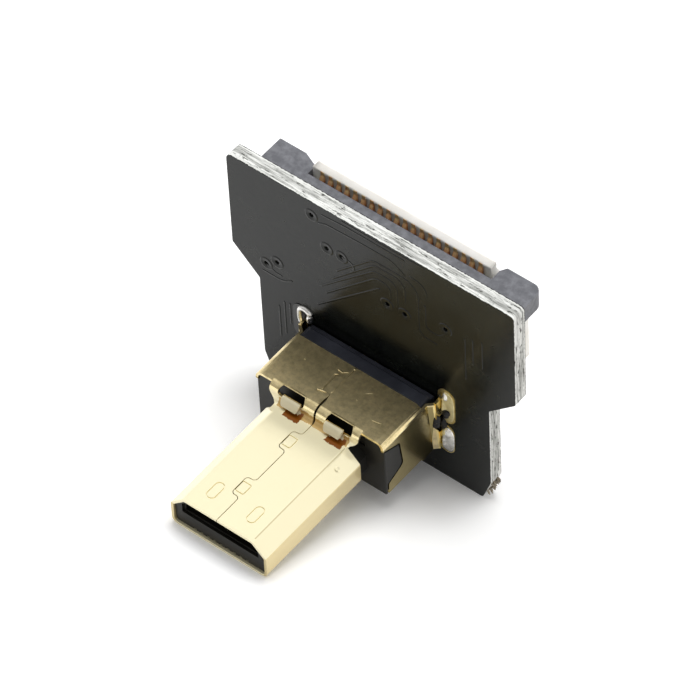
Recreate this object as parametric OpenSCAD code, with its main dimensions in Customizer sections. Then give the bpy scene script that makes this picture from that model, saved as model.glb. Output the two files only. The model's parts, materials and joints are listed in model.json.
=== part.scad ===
// Micro plug adapter: a small upright board with an audio-video micro plug on its front
// and a slide-lock flat cable connector on its back.
// X runs along the board, -Y is the way the plug goes in, and +Z is the way the cable comes out.
// Every piece is drawn upright, with the board's face at y = 0 and its lower edge at z = 0.
// seated() then leans it all forward until the nose tip rests on the table.

/* [Circuit board] */
// Width of the head, which carries the cable connector
head_w = 17.2; // [16.6:0.1:22]
// Width of the lower part, which carries the plug
waist_w = 14; // [12.5:0.1:16]
// Height of the board
board_h = 14.9; // [14.5:0.1:20]
// Height of the straight sides of the head
head_side_h = 6.4; // [4:0.1:8]
// Height of the sloped shoulders
shoulder_h = 1.6; // [0.8:0.1:2.4]
// Thickness of the board with its copper and mask
board_t = 0.85; // [0.6:0.05:1.6]
// Radius of the left and the right top corner
head_r = [0.35, 0.25]; // [0.2:0.05:1]
// Width and height of the cut at each lower corner
foot_cut = [0.5, 1.4]; // [0.2:0.1:1.6]
// Bore of the signal vias
via_d = 0.26; // [0.2:0.02:0.4]
// Thickness of the plated pads
pad_t = 0.035; // [0.02:0.005:0.07]

/* [Plug] */
// Height of the plug's centre line above the lower edge of the board
axis_z = 4.25; // [3:0.05:5]
// Width of the nose
nose_w = 5.83; // [5:0.01:7]
// Height of the nose
nose_h = 2.2; // [2.1:0.01:2.6]
// Width of the flat top of the nose, between its two slanted facets
nose_flat_w = 4.25; // [3.6:0.05:4.8]
// Height of the upright sides of the nose
nose_side_h = 1.43; // [1.1:0.01:1.5]
// Length of the nose, from its mouth to the foot of the step
nose_l = 7.15; // [6:0.05:10]
// Thickness of the folded sheet
sheet_t = 0.15; // [0.1:0.01:0.2]
// Width of the cover behind the nose
cover_w = 7.8; // [7.2:0.01:9]
// Height of the cover
cover_h = 3.9; // [3.6:0.05:4.8]
// Outer radius of the cover's two long bends
cover_r = 0.42; // [0.2:0.02:0.5]
// Length of the cover's top plate
cover_l = 3; // [2.4:0.05:5]
// Gap between the cover and the board
cover_gap = 1.22; // [0.9:0.02:2]
// How far the step runs forward as it drops from the cover to the nose
step_run = 0.56; // [0.5:0.01:0.6]

/* [Plug seam and windows] */
// Width of the seam where the sheet's two edges meet on the nose
seam_gap = 0.04; // [0.03:0.01:0.1]
// Width of the same seam where it runs down the step
step_gap = 0.12; // [0.05:0.01:0.16]
// Width of the same seam on the cover, where it is nearly closed
plate_gap = 0.02; // [0.02:0.01:0.1]
// Reach and length of each key that locks the seam
key = [0.5, 1.2]; // [0.3:0.05:1.4]
// Distance of the two nose keys from the mouth
key_at = [1.71, 5.21]; // [1:0.01:6]
// Width and depth of the pressed outlines
groove = [0.05, 0.07]; // [0.03:0.005:0.1]
// Width and height of the windows in the step
window = [1.6, 0.5]; // [0.3:0.02:1.8]
// Middles of the two windows, across
window_x = [-1.55, 1.38]; // [-1.8:0.01:1.8]
// How far the step's upper bend and its windows reach into the cover's top plate
bend_in = 0.2; // [0.1:0.02:0.3]
// Left and right ends of the step
step_x = [-2.86, 2.6]; // [-3.2:0.01:3.2]
// Width and thickness of the tongues that curl out of the windows' lower lips
tongue = [1.05, 0.12]; // [0.08:0.01:1.2]
// Middles of the two tongues, across
tongue_x = [-1.43, 1.18]; // [-1.8:0.01:1.8]

/* [Plug contacts] */
// Contacts above and below the plug's cavity
rows = [10, 9]; // [2:1:10]
// Spacing of the plug contacts
plug_pitch = 0.4; // [0.36:0.01:0.45]
// Width and thickness of a plug contact
pin = [0.16, 0.1]; // [0.08:0.01:0.2]
// Width, height and depth of the cavity in the mouth
cavity = [4.4, 0.68, 6.3]; // [0.5:0.05:8]
// Thickness of the plastic above the cavity
ceiling_t = 0.22; // [0.2:0.01:0.3]
// Spacing of the tail rows, up and down from the plug's centre line
tail_z = [1.25, 0.65]; // [0.4:0.05:1.4]
// Bore of the board's tail holes
tail_d = 0.34; // [0.3:0.01:0.4]
// How far legs and tails stand out behind the board
stick_out = 0.35; // [0.2:0.05:0.8]

/* [Cable connector] */
// Number of ways
ways = 20; // [6:1:20]
// Spacing of the ways
pitch = 0.5; // [0.5:0.01:0.5]
// Height of the connector above the board
conn_h = 2.25; // [2:0.05:3]
// Distance of the connector's mouth below the top of the board
conn_drop = 1.34; // [0.2:0.02:2]
// Depth of the connector from mouth to tails
conn_l = 5.3; // [4.6:0.05:7]
// Length of the housing's body along the row
conn_w = 14.2; // [13.4:0.1:15]
// Overall length of the slider, over its two ears
slider_w = 15.8; // [15:0.1:17]
// Distance from the middle to the inner end of the left and the right ear
ear_in = [5.43, 5.6]; // [5.4:0.01:5.8]
// Width and depth of the cut on the inner corner of each ear
ear_cut = [[0.87, 0.38], [0.21, 0.34]]; // [0.1:0.01:0.9]
// Radius of the outer corner of each ear
ear_r = [0.06, 0.5]; // [0.05:0.01:0.6]
// Height of the slider's bar and ears
bar_h = 1.06; // [0.8:0.02:1.4]
// How far the slider pulls out to free the cable
travel = 1.2; // [0.6:0.05:1.5]
// Length of the tall wall behind the contacts
wall_w = 10.7; // [9.9:0.1:10.7]
// Height of that wall above the slider
wall_rise = 0.31; // [0:0.01:0.6]
// Width and thickness of the room for the flat cable
cable = [10.6, 0.3]; // [0.2:0.05:11]

/* [Fits] */
// Clearance of the plastic inside the folded sheet
moulded_fit = 0.02; // [0.01:0.01:0.05]
// Clearance of contacts in their slots
pin_fit = 0.02; // [0.01:0.01:0.05]
// Running clearance of the slider
slide_fit = 0.05; // [0.03:0.01:0.1]
// Clearance of the solder round what it holds
solder_fit = 0.01; // [0.005:0.005:0.03]

/* [Hidden] */
$fn = 24;
// Bends and corners are drawn as this many short flats
bend_n = 5;

// Driving places, upright
nose_z = axis_z - nose_h / 2;
nose_top = nose_z + nose_h;
cover_top = axis_z + cover_h / 2;
cover_low = axis_z - cover_h / 2;
cover_back = -cover_gap;
cover_front = cover_back - cover_l;
step_foot = cover_front - step_run;
mouth_y = step_foot - nose_l;
lean = atan2(nose_z, -mouth_y);
block_w = cover_w - 2 * sheet_t - 2 * moulded_fit;
block_top = cover_top - sheet_t - moulded_fit;
block_low = cover_low + 0.06;
block_front = cover_front + 0.1;
comb_front = cover_back - 0.1;
comb_back = -0.38;
comb_foot = -0.05;
cavity_top = nose_top - sheet_t - moulded_fit - ceiling_t;
cavity_low = cavity_top - cavity[1];

// Legs of the cover: place across, heights of the two legs, height of one leg
leg_x = cover_w / 2 + 0.23;
leg_zs = [axis_z - 1.25, axis_z + 1.1];
leg_h = 1.15;
// Height, width and length of the pads round the lower and the upper leg, and how far the
// front ones lie outwards of their leg
pads = [[leg_zs[0], 0.96, 2.06, 0.26], [leg_zs[1] + 0.09, 1.04, 2.41, 0.31]];
// Flared rear edge of the side walls: middle, length and lean, and where it bends and ends
flare_z = axis_z - 0.14;
flare_l = cover_h - 0.25;
flare_lean = 5.7;
flare_y = [-0.62, -0.36];

// Cable connector, upright
conn_y = board_t + pad_t;
conn_back = conn_y + conn_h;
conn_top = board_h - conn_drop;
conn_low = conn_top - conn_l;
shoulder_z = conn_top - bar_h - slide_fit;
wall_y = conn_back - 0.635;
wall_top = conn_top + wall_rise;
blade_y = conn_y + 0.32;
blade_back = wall_y - cable[1];
blade_t = blade_back - blade_y;

// Plane geometry

function unit(v) = v / norm(v);
function at(list, i) = list[(i + len(list)) % len(list)];

// The arc that rounds corner p, between its neighbours a and b
function arc_at(p, a, b, r, n) =
    let (u = unit(a - p), v = unit(b - p), half = acos(u * v) / 2)
    let (c = p + unit(u + v) * r / sin(half), s = p + u * r / tan(half) - c)
    let (side = sign(u[0] * v[1] - u[1] * v[0]), from = atan2(s[1], s[0]))
    [for (i = [0:n]) c + r * [cos(from - side * (180 - 2 * half) * i / n),
                              sin(from - side * (180 - 2 * half) * i / n)]];

// A closed outline whose corners are rounded by the radii rs
function rounded(pts, rs, n = bend_n) =
    [for (i = [0:len(pts) - 1])
        each rs[i] > 0 ? arc_at(pts[i], at(pts, i - 1), at(pts, i + 1), rs[i], n) : [pts[i]]];

// The same outline, t further in; the points run anticlockwise
function inset(pts, t) =
    [for (i = [0:len(pts) - 1])
        let (e = unit(pts[i] - at(pts, i - 1)), f = unit(at(pts, i + 1) - pts[i]))
        let (n = [-e[1], e[0]], m = [-f[1], f[0]])
        pts[i] + t * (n + m) / (1 + n * m)];

// A band of width w along an open path
function side_of(path, d) =
    [for (i = [0:len(path) - 1])
        let (e = unit(path[max(i, 1)] - path[max(i, 1) - 1]))
        let (j = min(i, len(path) - 2), f = unit(path[j + 1] - path[j]))
        let (n = [-e[1], e[0]], m = [-f[1], f[0]])
        path[i] + d * (n + m) / (1 + n * m)];
function reversed(list) = [for (i = [len(list) - 1:-1:0]) list[i]];
function band(path, w) = concat(side_of(path, w / 2), reversed(side_of(path, -w / 2)));

// Directions of extrusion

// Outline in X and Z, carried from y0 back to y1
module along_y(y0, y1) {
    translate([0, y1, 0]) rotate([90, 0, 0]) linear_extrude(y1 - y0) children();
}

// Outline in Y and Z, carried from x0 to x1
module along_x(x0, x1) {
    translate([x0, 0, 0]) rotate([90, 0, 90]) linear_extrude(x1 - x0) children();
}

// Outline in X and Y, carried from z0 up to z1
module along_z(z0, z1) {
    translate([0, 0, z0]) linear_extrude(z1 - z0) children();
}

module block(low, high) {
    translate(low) cube(high - low);
}

// Leans the upright assembly forward onto the nose tip
module seated() {
    rotate([lean, 0, 0]) children();
}

// Places that repeat

function plug_x(n, i) = (i - (n + 1) / 2) * plug_pitch;
function tail_up(top, i) = axis_z + (top ? 1 : -1) * tail_z[i % 2];
function way_x(i) = (i - (ways + 1) / 2) * pitch;

module at_tails() {
    for (i = [1:rows[0]]) translate([plug_x(rows[0], i), 0, tail_up(true, i)]) children();
    for (i = [1:rows[1]]) translate([plug_x(rows[1], i), 0, tail_up(false, i)]) children();
}

module at_legs() {
    for (s = [-1, 1], z = leg_zs) translate([s * leg_x, 0, z]) children();
}

module at_ways() {
    for (i = [1:ways]) translate([way_x(i), 0, 0]) children();
}

// Rod along Y
module rod(d, y0, y1) {
    translate([0, y1, 0]) rotate([90, 0, 0]) cylinder(d = d, h = y1 - y0);
}

// Upright slot along Y: w wide and h high with round ends
module slot(w, h, y0, y1) {
    block([-w / 2, y0, -(h - w) / 2], [w / 2, y1, (h - w) / 2]);
    for (s = [-1, 1]) translate([0, 0, s * (h - w) / 2]) rod(w, y0, y1);
}

// Circuit board

waist_top = board_h - head_side_h - shoulder_h;
board_outline = [
    [-waist_w / 2 + foot_cut[0], 0], [waist_w / 2 - foot_cut[0], 0],
    [waist_w / 2, foot_cut[1]], [waist_w / 2, waist_top],
    [head_w / 2, waist_top + shoulder_h], [head_w / 2, board_h],
    [-head_w / 2, board_h], [-head_w / 2, waist_top + shoulder_h],
    [-waist_w / 2, waist_top], [-waist_w / 2, foot_cut[1]]
];
board_radii = [0.25, 0.25, 0.4, 0.15, 0.1, head_r[1], head_r[0], 0.1, 0.15, 0.4];
// Vias, across from the middle and down from the top of the board
vias = [
    [-3.44, 0.97], [-2.6, 2.8], [-1.7, 2.8], [-6.5, 6.6], [-5.8, 6.05], [1, 4.35], [2.05, 4.35], [4.5, 3.72]
];

module circuit_board() {
    color("#2b2b26") seated() difference() {
        along_y(0, board_t) polygon(rounded(board_outline, board_radii));
        for (v = vias) translate([v[0], 0, board_h - v[1]]) rod(via_d, -1, board_t + 1);
        at_tails() rod(tail_d, -1, board_t + 1);
        at_legs() slot(0.4, leg_h + 0.3, -1, board_t + 1);
    }
}

// Plated pads on both faces: rings round the legs and tails, and strips under the cable connector
module board_pads() {
    color("#d8b45a") seated() {
        difference() {
            union() {
                for (s = [-1, 1], p = pads) {
                    translate([s * (leg_x + p[3]), 0, p[0]]) slot(p[1], p[2], -pad_t, 0);
                    translate([s * leg_x, 0, p[0]]) slot(1.2, p[2], board_t, board_t + pad_t);
                }
                at_tails() rod(0.54, board_t, board_t + pad_t);
            }
            at_tails() rod(tail_d, board_t - 1, board_t + 1);
            at_legs() slot(0.4, leg_h + 0.3, -1, board_t + 1);
        }
        at_ways() block([-0.15, board_t, conn_low - 0.85], [0.15, board_t + pad_t, conn_low + 0.25]);
        for (s = [-1, 1]) translate([s * anchor_x, 0, 0])
            block([-0.65, board_t, anchor_z - 1.2], [0.65, board_t + pad_t, anchor_z + 1.2]);
    }
}

// Folded sheet of the plug: nose, step, cover and legs in one piece

nose_outline = [
    [-nose_w / 2, nose_z], [nose_w / 2, nose_z],
    [nose_w / 2, nose_z + nose_side_h], [nose_flat_w / 2, nose_top],
    [-nose_flat_w / 2, nose_top], [-nose_w / 2, nose_z + nose_side_h]
];
nose_radii = [0.34, 0.34, 0.26, 0.26, 0.26, 0.26];

module nose_section(t) {
    polygon(rounded(inset(nose_outline, t), [for (r = nose_radii) r - t]));
}

module nose_tube() {
    difference() {
        along_y(mouth_y, step_foot) nose_section(0);
        along_y(mouth_y - 1, step_foot + 1) nose_section(sheet_t);
    }
    // Tail of the nose's floor, which the plastic grips
    block([-1.6, step_foot - 0.1, nose_z], [1.6, cover_front + 1.1, nose_z + sheet_t]);
}

// Outer radii of the two bends of the step, as seen from above
step_bend = [0.3, 0.26 + bend_in];
step_mid = cover_front + bend_in - step_bend[1] + sheet_t / 2;
step_path = rounded([
    [step_foot - 0.4, nose_top - sheet_t / 2], [step_mid - sheet_t / 2, nose_top - sheet_t / 2],
    [step_mid, cover_top - sheet_t / 2], [cover_front + bend_in + 0.3, cover_top - sheet_t / 2]],
    [0, step_bend[0] - sheet_t / 2 + 0.1, step_bend[1] - sheet_t / 2, 0]);
step_outline = [
    [-nose_flat_w / 2, nose_z + nose_side_h], [nose_flat_w / 2, nose_z + nose_side_h],
    [nose_flat_w / 2 + 0.04, nose_top], [step_x[1], nose_top + 0.1],
    [step_x[1], cover_top + 1], [step_x[0], cover_top + 1],
    [step_x[0], nose_top + 0.05], [-nose_flat_w / 2 - 0.04, nose_top - 0.04]
];

// The step between nose and cover, with its two round lobes
module step_sheet() {
    intersection() {
        along_x(-cover_w / 2, cover_w / 2) polygon(band(step_path, sheet_t));
        along_y(step_foot - 1, cover_front + 1)
            polygon(rounded(step_outline, [0, 0, 0, 0.5, 0, 0, 0.75, 0]));
    }
}

// Windows in the upper bend of the step, with round ends
window_z = cover_top - window[1] / 2 + 0.02;
module windows() {
    reach = (window[0] - window[1]) / 2;
    back = cover_front + bend_in;
    for (x = window_x) translate([x, 0, window_z]) {
        for (e = [-1, 1]) translate([e * reach, 0, 0]) rod(window[1], step_foot - 1, back);
        block([-reach, step_foot - 1, -window[1] / 2], [reach, back, window[1] / 2]);
    }
}

// Tongues that curl up out of the windows' lower lips and hang down in front of the step
lip_z = window_z - window[1] / 2;
tongue_path = rounded([
    [step_mid, lip_z - 0.15], [step_mid, lip_z + 0.2], [step_mid - 0.2, lip_z + 0.2],
    [step_mid - 0.38, lip_z - 0.17]],
    [0, 0.08, 0.1, 0], 3);
module tongues() {
    half = tongue[0] / 2;
    low = lip_z - 0.3;
    for (x = tongue_x) intersection() {
        along_x(x - half, x + half) polygon(band(tongue_path, tongue[1]));
        along_y(step_foot - 1, cover_front) polygon(rounded(
            [[x - half, low], [x + half, low], [x + half, cover_top], [x - half, cover_top]],
            [0.4, 0.4, 0, 0], 4));
    }
}

// Top plate and side walls
module cover() {
    half = cover_w / 2;
    outer = [[-half, cover_low], [half, cover_low], [half, cover_top], [-half, cover_top]];
    inner = inset([for (p = outer) [p[0], p[1] < axis_z ? p[1] - 1 : p[1]]], sheet_t);
    difference() {
        along_y(cover_front, cover_back) difference() {
            polygon(rounded(outer, [0, 0, cover_r, cover_r]));
            polygon(rounded(inner, [0, 0, cover_r - sheet_t, cover_r - sheet_t]));
        }
        // The step's bend takes the place of the plate's front edge
        block([step_x[0], cover_front - 1, cover_top - 2 * sheet_t],
              [step_x[1], cover_front + bend_in, cover_top + 1]);
    }
}

// The forward edge of each side wall, cut back to a blunt V
notch_outline = [
    [mouth_y, cover_top - cover_r - 0.07], [cover_front + 0.1, cover_top - cover_r - 0.13],
    [cover_front + 1.25, cover_top - 1],
    [cover_front + 1.47, cover_low + 1.16], [cover_front + 0.32, cover_low + 0.67],
    [cover_front + 0.29, cover_low - 1], [mouth_y, cover_low - 1]
];
notch_radii = [0, 0, 0.12, 0.35, 0.1, 0, 0];
module notches() {
    for (s = [-1, 1]) translate([s * cover_w / 2, 0, 0])
        along_x(-0.5, 0.5) polygon(rounded(notch_outline, notch_radii));
}

// Rear edge of a side wall, flared towards its two legs, which go through the board
module foot() {
    wall_x = cover_w / 2 - sheet_t / 2;
    bent = [[wall_x, cover_back - 0.28], [wall_x, flare_y[0]], [leg_x, flare_y[1]]];
    difference() {
        translate([0, 0, flare_z]) rotate([flare_lean, 0, 0])
            along_z(-flare_l / 2, flare_l / 2) polygon(band(bent, sheet_t));
        // Round notch between the legs
        translate([leg_x - 1, 0, leg_zs * [0.5, 0.5]]) rotate([0, 90, 0]) cylinder(d = 1.1, h = 2);
        // Clearance over the pads and their solder
        block([0, -pad_t - 0.03, 0], [2 * leg_x, 1, cover_top]);
    }
    for (z = leg_zs) {
        // The legs start on the leaning edge of the flare
        start = flare_y[1] - (z + leg_h / 2 - flare_z) * tan(flare_lean);
        translate([leg_x, 0, z])
            block([-sheet_t / 2, start, -leg_h / 2], [sheet_t / 2, board_t + stick_out, leg_h / 2]);
    }
}

// Path of the seam past one key, from y - r to y + length + r
function key_path(y, r = 0.14, n = bend_n) = concat(
    [for (i = [0:n]) [-r, y - r] + r * [cos(90 * i / n), sin(90 * i / n)]],
    [for (i = [0:n]) [-key[0] + r, y + r] + r * [cos(-90 - 90 * i / n), sin(-90 - 90 * i / n)]],
    [for (i = [0:n]) [-key[0] + r, y + key[1] - r] + r * [cos(180 - 90 * i / n), sin(180 - 90 * i / n)]],
    [for (i = [0:n]) [-r, y + key[1] + r] + r * [cos(-90 + 90 * i / n), sin(-90 + 90 * i / n)]]
);
seam_x = -0.05;
nose_r = 0.2;
nose_seam = concat(
    [[0, mouth_y - 1]], key_path(mouth_y + key_at[0], nose_r), key_path(mouth_y + key_at[1], nose_r),
    [[0, step_foot + 0.1]]);
plate_key = cover_front + 0.98;
plate_seam = concat([[0, step_foot - 0.1]], key_path(plate_key), [[0, cover_back + 1]]);

// Half outline of the wide gap down the step: half width and Y
step_seam = [
    [seam_gap / 2, step_foot], [step_gap / 2, step_foot + 0.25],
    [step_gap / 2, plate_key - 0.4], [plate_gap / 2, plate_key - 0.12]
];

module seam() {
    floor_z = nose_top - 2 * sheet_t;
    translate([seam_x, 0, 0]) {
        along_z(floor_z, nose_top + 0.2) polygon(band(nose_seam, seam_gap));
        along_z(floor_z, cover_top + 1) polygon(band(plate_seam, plate_gap));
        along_z(floor_z, cover_top + 1)
            polygon(concat(step_seam, reversed([for (p = step_seam) [-p[0], p[1]]])));
    }
}

// Outline of a w by l mark with corner radius r, pressed into a flat top
module pressed_mark(w, l, r) {
    corners = [[-w / 2, -l / 2], [w / 2, -l / 2], [w / 2, l / 2], [-w / 2, l / 2]];
    along_z(-groove[1], 1) difference() {
        polygon(rounded(corners, [r, r, r, r], 6));
        polygon(rounded(inset(corners, groove[0]), [for (i = [0:3]) r - groove[0]], 6));
    }
}

module pressed_marks() {
    // Latch marks near the mouth
    for (s = [-1, 1]) translate([s * 1.22, mouth_y + 1.36, nose_top]) pressed_mark(0.54, 1.1, 0.26);
    // Square marks on the keys
    for (y = key_at) translate([seam_x - 0.22, mouth_y + y + 0.56, nose_top]) pressed_mark(0.56, 0.7, 0.1);
    // Shallow dimple on the right facet
    translate([nose_w / 2 - 0.34, step_foot - 1.17, nose_top - 0.16]) sphere(d = 0.5);
}

module plug_shell() {
    color("#d9b95c") seated() {
        difference() {
            union() {
                nose_tube();
                difference() {
                    union() {
                        step_sheet();
                        cover();
                    }
                    windows();
                }
                tongues();
                foot();
                mirror([1, 0, 0]) foot();
            }
            notches();
            seam();
            pressed_marks();
        }
    }
}

// Plastic of the plug: the block under the cover and the lining of the nose

// Side view of a contact: tip, bump, beam, joggle and tail, as the path of its middle.
// ahead and behind make it longer, for the slot that it lies in.
function contact_path(top, i, ahead = 0, behind = 0) =
    let (tip = mouth_y + lip_l + 0.15, far = board_t + stick_out + behind, up = tail_up(top, i))
    let (beside = pin[1] / 2 + 0.03, z = top ? cavity_top + beside : cavity_low - beside)
    let (rise = top ? -0.12 : 0.12)
    concat(
        [[tip - ahead, top ? z : z - 0.1 - ahead / 7], [tip + 0.7, z], [tip + 1.1, z + rise]],
        top ? [[tip + 1.5, z], [block_front + 1.1, z]]
            : [[tip + 1.7, z - 0.1], [mouth_y + cavity[2] - 1, z - 0.45], [block_front + 1.1, z - 0.45]],
        [[block_front + 1.7, up], [far, up]]);

module contact(top, i, fit = 0) {
    x = plug_x(top ? rows[0] : rows[1], i);
    w = pin[0] / 2 + fit;
    path = contact_path(top, i, fit > 0 ? 0.1 : 0, fit > 0 ? 1 : 0);
    along_x(x - w, x + w) polygon(band(path, pin[1] + 2 * fit));
}

module all_contact_slots() {
    for (i = [1:rows[0]]) contact(true, i, pin_fit);
    for (i = [1:rows[1]]) contact(false, i, pin_fit);
}

// Length of the plain lip at the mouth, in front of the contacts
lip_l = 0.55;

// Slots beside the cavity that the contacts spring into, behind the lip
module comb_slots() {
    w = pin[0] / 2 + pin_fit;
    front = mouth_y + lip_l;
    back = mouth_y + cavity[2];
    lining = nose_z + sheet_t;
    for (i = [1:rows[0]]) let (x = plug_x(rows[0], i))
        block([x - w, front, cavity_top - 0.1], [x + w, back, cavity_top + pin[1] + 0.05]);
    for (i = [1:rows[1]]) let (x = plug_x(rows[1], i)) {
        block([x - w, front, lining + 0.16], [x + w, back, cavity_low + 0.1]);
        // Notch under the lip
        block([x - w, mouth_y, lining - 0.1], [x + w, mouth_y + 0.4, lining + 0.13]);
    }
}

// Front view of the cavity, grown by g; its upper corners follow the facets of the nose
module cavity_section(g) {
    w = cavity[0] / 2;
    corner = [0.3, 0.26];
    outline = [
        [-w, cavity_low], [w, cavity_low], [w, cavity_top - corner[1]], [w - corner[0], cavity_top],
        [-w + corner[0], cavity_top], [-w, cavity_top - corner[1]]
    ];
    polygon(inset(outline, -g));
}

// Front view of the plastic under the cover
module block_section() {
    w = block_w / 2;
    corners = [[-w, block_low], [w, block_low], [w, block_top], [-w, block_top]];
    r = cover_r - sheet_t - moulded_fit;
    polygon(rounded(corners, [0, 0, r, r], 3));
}

// Clearance between the notches in the walls and the plastic that fills them
boss_gap = 0.1;

// Plastic that fills the notches, flush with the walls
module bosses() {
    half = cover_w / 2;
    intersection() {
        along_x(-half, half) polygon(rounded(inset(notch_outline, -boss_gap), notch_radii));
        along_z(block_low, cover_top) polygon(rounded(
            [[-half, block_front], [half, block_front], [half, 0], [-half, 0]], [0.06, 0.06, 0, 0], 3));
    }
}

module plug_insulator() {
    color("#2c2d30") seated() difference() {
        union() {
            along_y(mouth_y + 0.12, block_front + 0.2) nose_section(sheet_t + moulded_fit);
            along_y(block_front, comb_front - moulded_fit) block_section();
            bosses();
        }
        along_y(mouth_y - 1, mouth_y + cavity[2]) cavity_section(0);
        // Shallow step round the mouth
        along_y(mouth_y - 1, mouth_y + 0.27) cavity_section(0.12);
        comb_slots();
        all_contact_slots();
        // Pocket for the tail of the nose's floor
        block([-1.6 - moulded_fit, step_foot - 0.2, nose_z - moulded_fit],
              [1.6 + moulded_fit, cover_front + 1.15, nose_z + sheet_t + moulded_fit]);
        // Room behind the step's inner bends
        block([step_x[0] - 0.1, mouth_y, nose_top - sheet_t - 0.05],
              [step_x[1] + 0.1, cover_front + bend_in, cover_top]);
    }
}

// Comb that holds the tails in line behind the block; its lower step stands on the board on four feet
module tail_comb() {
    feet = [block_w / 2 - 0.6, cover_h / 2 - 0.9];
    color("#23252c") seated() difference() {
        union() {
            intersection() {
                along_y(comb_front, comb_foot) block_section();
                along_x(-block_w / 2, block_w / 2) polygon(rounded(
                    [[comb_front, block_low], [comb_foot, block_low], [comb_foot, block_top - 0.28],
                     [comb_back, block_top - 0.28], [comb_back, block_top], [comb_front, block_top]],
                    [0, 0.06, 0.06, 0.04, 0.12, 0], 3));
            }
            for (x = [-1, 1], z = [-1, 1]) translate([x * feet[0], 0, axis_z + z * feet[1]])
                rod(0.7, comb_foot - 0.1, 0);
        }
        all_contact_slots();
    }
}

module plug_contact(top, i) {
    color("#c9a35a") seated() contact(top, i);
}

// Solder

// Low mound, w wide and l high, which stands h off the face at y = 0 towards -Y
module mound(w, l, h) {
    r = (w * w / 4 + h * h) / (2 * h);
    intersection() {
        union() {
            translate([0, r - h, -(l - w) / 2]) cylinder(r = r, h = l - w);
            for (s = [-1, 1]) translate([0, r - h, s * (l - w) / 2]) sphere(r = r);
        }
        block([-w, -h - 0.1, -l], [w, 0, l]);
    }
}

module leg_hole() {
    w = sheet_t / 2 + solder_fit;
    h = leg_h / 2 + solder_fit;
    block([-w, -5, -h], [w, 5, h]);
}

module shell_solder() {
    color("#d4d6d8") seated() for (s = [0, 1], i = [0, 1]) mirror([s, 0, 0])
        translate([leg_x, 0, leg_zs[i]]) difference() {
            union() {
                translate([pads[i][3], -pad_t, pads[i][0] - leg_zs[i]])
                    mound(pads[i][1] - 0.1, pads[i][2] - 0.2, 0.24);
                translate([0, board_t + pad_t, 0]) mirror([0, 1, 0]) mound(0.9, 1.8, 0.3);
            }
            leg_hole();
            // In front the solder lies on the outer side of the leg only
            block([-1, -1, -2], [sheet_t / 2 + solder_fit, 0, 2]);
        }
}

module tail_solder() {
    w = pin[0] / 2 + solder_fit;
    h = pin[1] / 2 + solder_fit;
    color("#c9cbce") seated() at_tails() translate([0, board_t + pad_t, 0]) difference() {
        rotate([-90, 0, 0]) cylinder(d1 = 0.5, d2 = 0.26, h = 0.22, $fn = 16);
        block([-w, -1, -h], [w, 1, h]);
    }
}

// Slide-lock connector for the flat cable

anchor_x = conn_w / 2 + 0.05;
anchor_z = conn_low + 1.9;
tail_low = conn_low - 0.65;
// Front and back of the contacts where they lie against the wall
beam = [wall_y - 0.04, wall_y + 0.2];

// Side view of one cable contact, Y and Z
contact_side = [
    [conn_y, tail_low], [conn_y + 0.14, tail_low], [conn_y + 0.14, conn_low - 0.06],
    [conn_y + 0.32, conn_low + 0.1], [beam[1], conn_low + 0.1], [beam[1], wall_top], [beam[0], wall_top],
    [beam[0], conn_low + 3.4], [beam[0] - 0.1, conn_low + 3], [beam[0], conn_low + 2.6],
    [beam[0], conn_low + 0.42], [conn_y + 0.14, conn_low + 0.42], [conn_y, conn_low]
];
contact_w = 0.22;

module cable_contact(i) {
    color("#b8863f") seated() translate([way_x(i), 0, 0])
        along_x(-contact_w / 2, contact_w / 2) polygon(contact_side);
}

module cable_housing() {
    slot_w = cable[0] + 0.1;
    room = contact_w / 2 + pin_fit;
    color("#f6ecd6") seated() difference() {
        union() {
            // Body with its two end posts, and the tall wall behind the contacts
            block([-conn_w / 2, conn_y, conn_low], [conn_w / 2, conn_back - 0.08, shoulder_z]);
            along_x(-wall_w / 2, wall_w / 2) polygon(rounded([
                [wall_y, conn_low + 1], [conn_back, conn_low + 1], [conn_back, conn_top - 0.4],
                [wall_y + 0.42, conn_top], [wall_y + 0.42, wall_top], [wall_y, wall_top]],
                [0, 0, 0, 0, 0.05, 0], 2));
        }
        // Mouth for the cable and the slider's blade
        block([-slot_w / 2, conn_y + 0.22, conn_low + 1.1], [slot_w / 2, wall_y, conn_top + 1]);
        // One slot for each contact, open to the mouth and to the board
        at_ways() {
            block([-room, wall_y - 0.3, conn_low + 0.38], [room, beam[1] + pin_fit, wall_top + 1]);
            block([-room, conn_y - 1, conn_low - 1], [room, beam[1] + pin_fit, conn_low + 0.44]);
        }
        // Guides for the slider's arms
        for (s = [-1, 1]) translate([s * guide_x, conn_y, shoulder_z])
            block([-guide_w / 2 - slide_fit, 0.5, -arm_l - slide_fit], [guide_w / 2 + slide_fit, 1.5, 1]);
    }
}

// Guide arms of the slider: place, width, and a length that keeps them in their guides when it is pulled out
guide_x = 6.25;
guide_w = 0.6;
arm_l = travel + 1.4;

// Outline of one ear, X and Y; side is 0 on the left and 1 on the right
function ear(side) =
    let (front = conn_y + 0.1, back = conn_back + 0.04, in = ear_in[side], cut = ear_cut[side])
    rounded([[in, front], [slider_w / 2, front], [slider_w / 2, back], [in + cut[0], back],
             [in, back - cut[1]]],
            [0, 0.06, ear_r[side], 0.05, 0.05]);

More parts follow.
